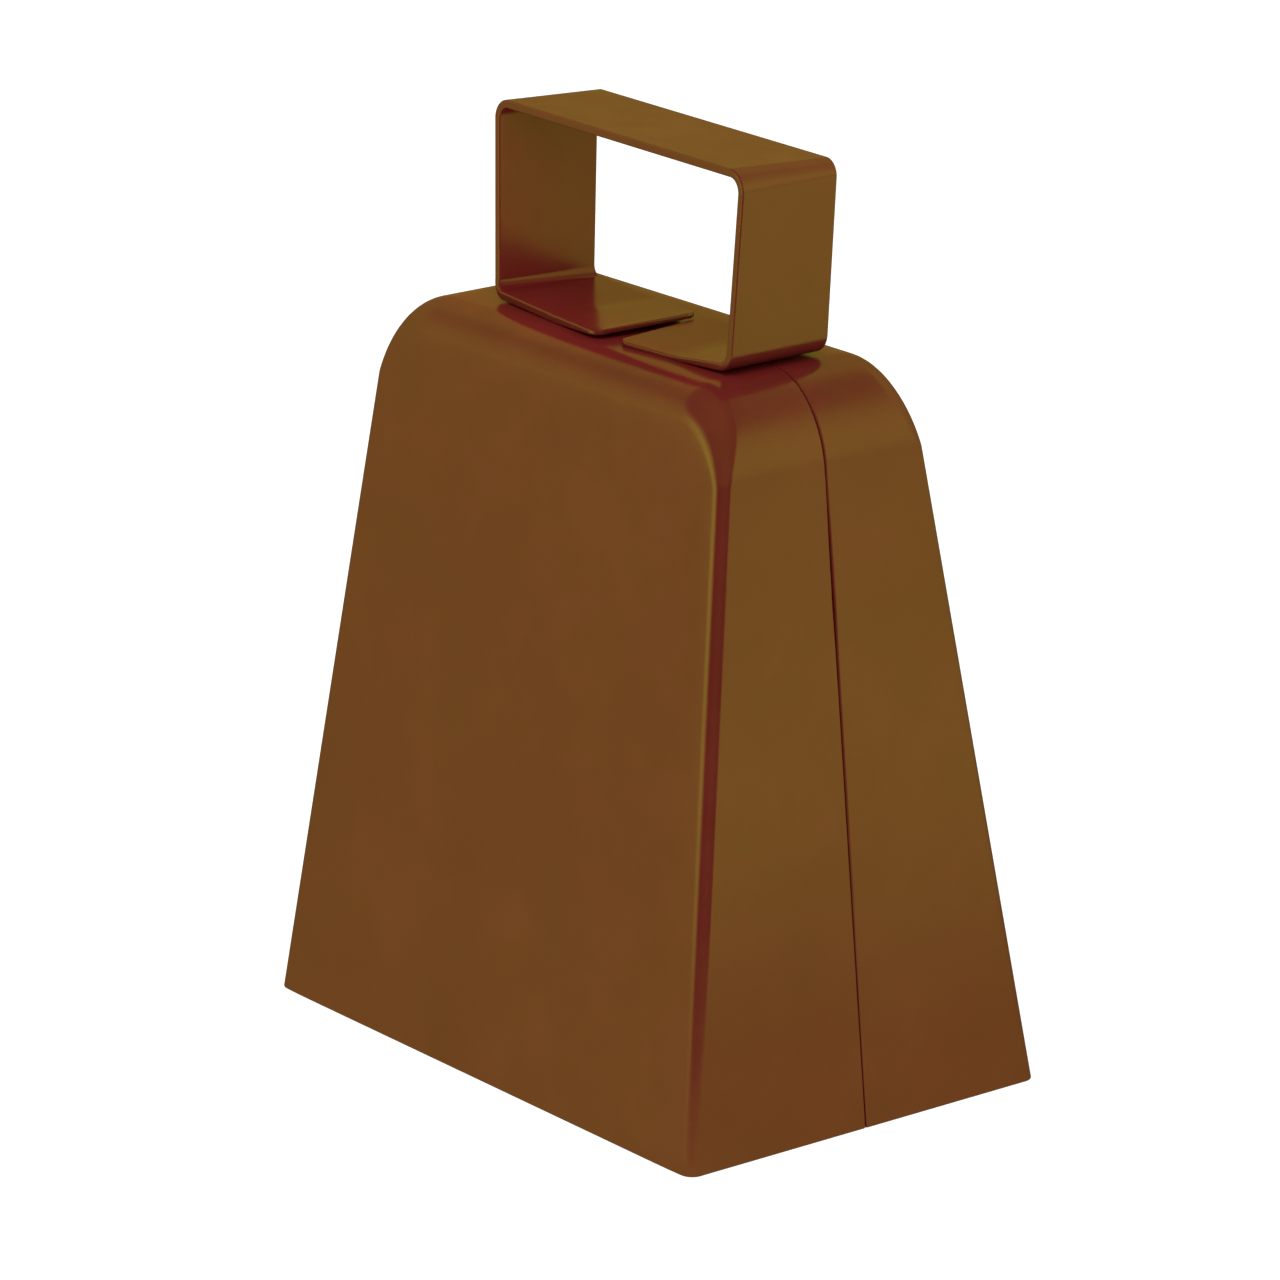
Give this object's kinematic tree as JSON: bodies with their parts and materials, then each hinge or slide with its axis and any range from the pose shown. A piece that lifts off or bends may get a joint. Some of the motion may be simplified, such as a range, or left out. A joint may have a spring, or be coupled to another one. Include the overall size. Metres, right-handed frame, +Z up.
{
  "type": "cowbell",
  "caption": "Small hand cowbell: tapered sheet-steel body in two lapped halves, bent strap handle on top and a wire-hung ball clapper inside.",
  "frame": {"origin": "centre of the mouth, in the plane of the rim", "axes": "+Z up from the rim to the handle, +X along the wide faces towards the handle's leaning leg, +Y towards the back half"},
  "size_m": [0.0714, 0.045, 0.097],
  "materials": {
    "copper_lacquer": "glossy brown-copper lacquer over steel, dark red in its shaded reflections",
    "bare_wire": "bright drawn steel wire",
    "bare_ball": "tumbled steel",
    "weld_metal": "fused steel"
  },
  "bodies": {
    "bell": {"front_half_shell": "copper_lacquer", "back_half_shell": "copper_lacquer", "handle_strap": "copper_lacquer", "clapper_hanger": "bare_wire", "seam_welds": "weld_metal", "handle_welds": "weld_metal", "hanger_welds": "weld_metal"},
    "link": {"clapper_link": "bare_wire"},
    "clapper": {"clapper_stem": "bare_wire", "clapper_ball": "bare_ball"}
  },
  "joints": [
    {"name": "link_swing", "type": "hinge", "parent": "bell", "child": "link", "pos_m": [0, 0, 0.0694], "axis": [0, 1, 0], "range_deg": [-27, 27]},
    {"name": "clapper_rock", "type": "hinge", "parent": "link", "child": "clapper", "pos_m": [0, 0, 0.0649], "axis": [1, 0, 0], "range_deg": [-13, 13]}
  ]
}
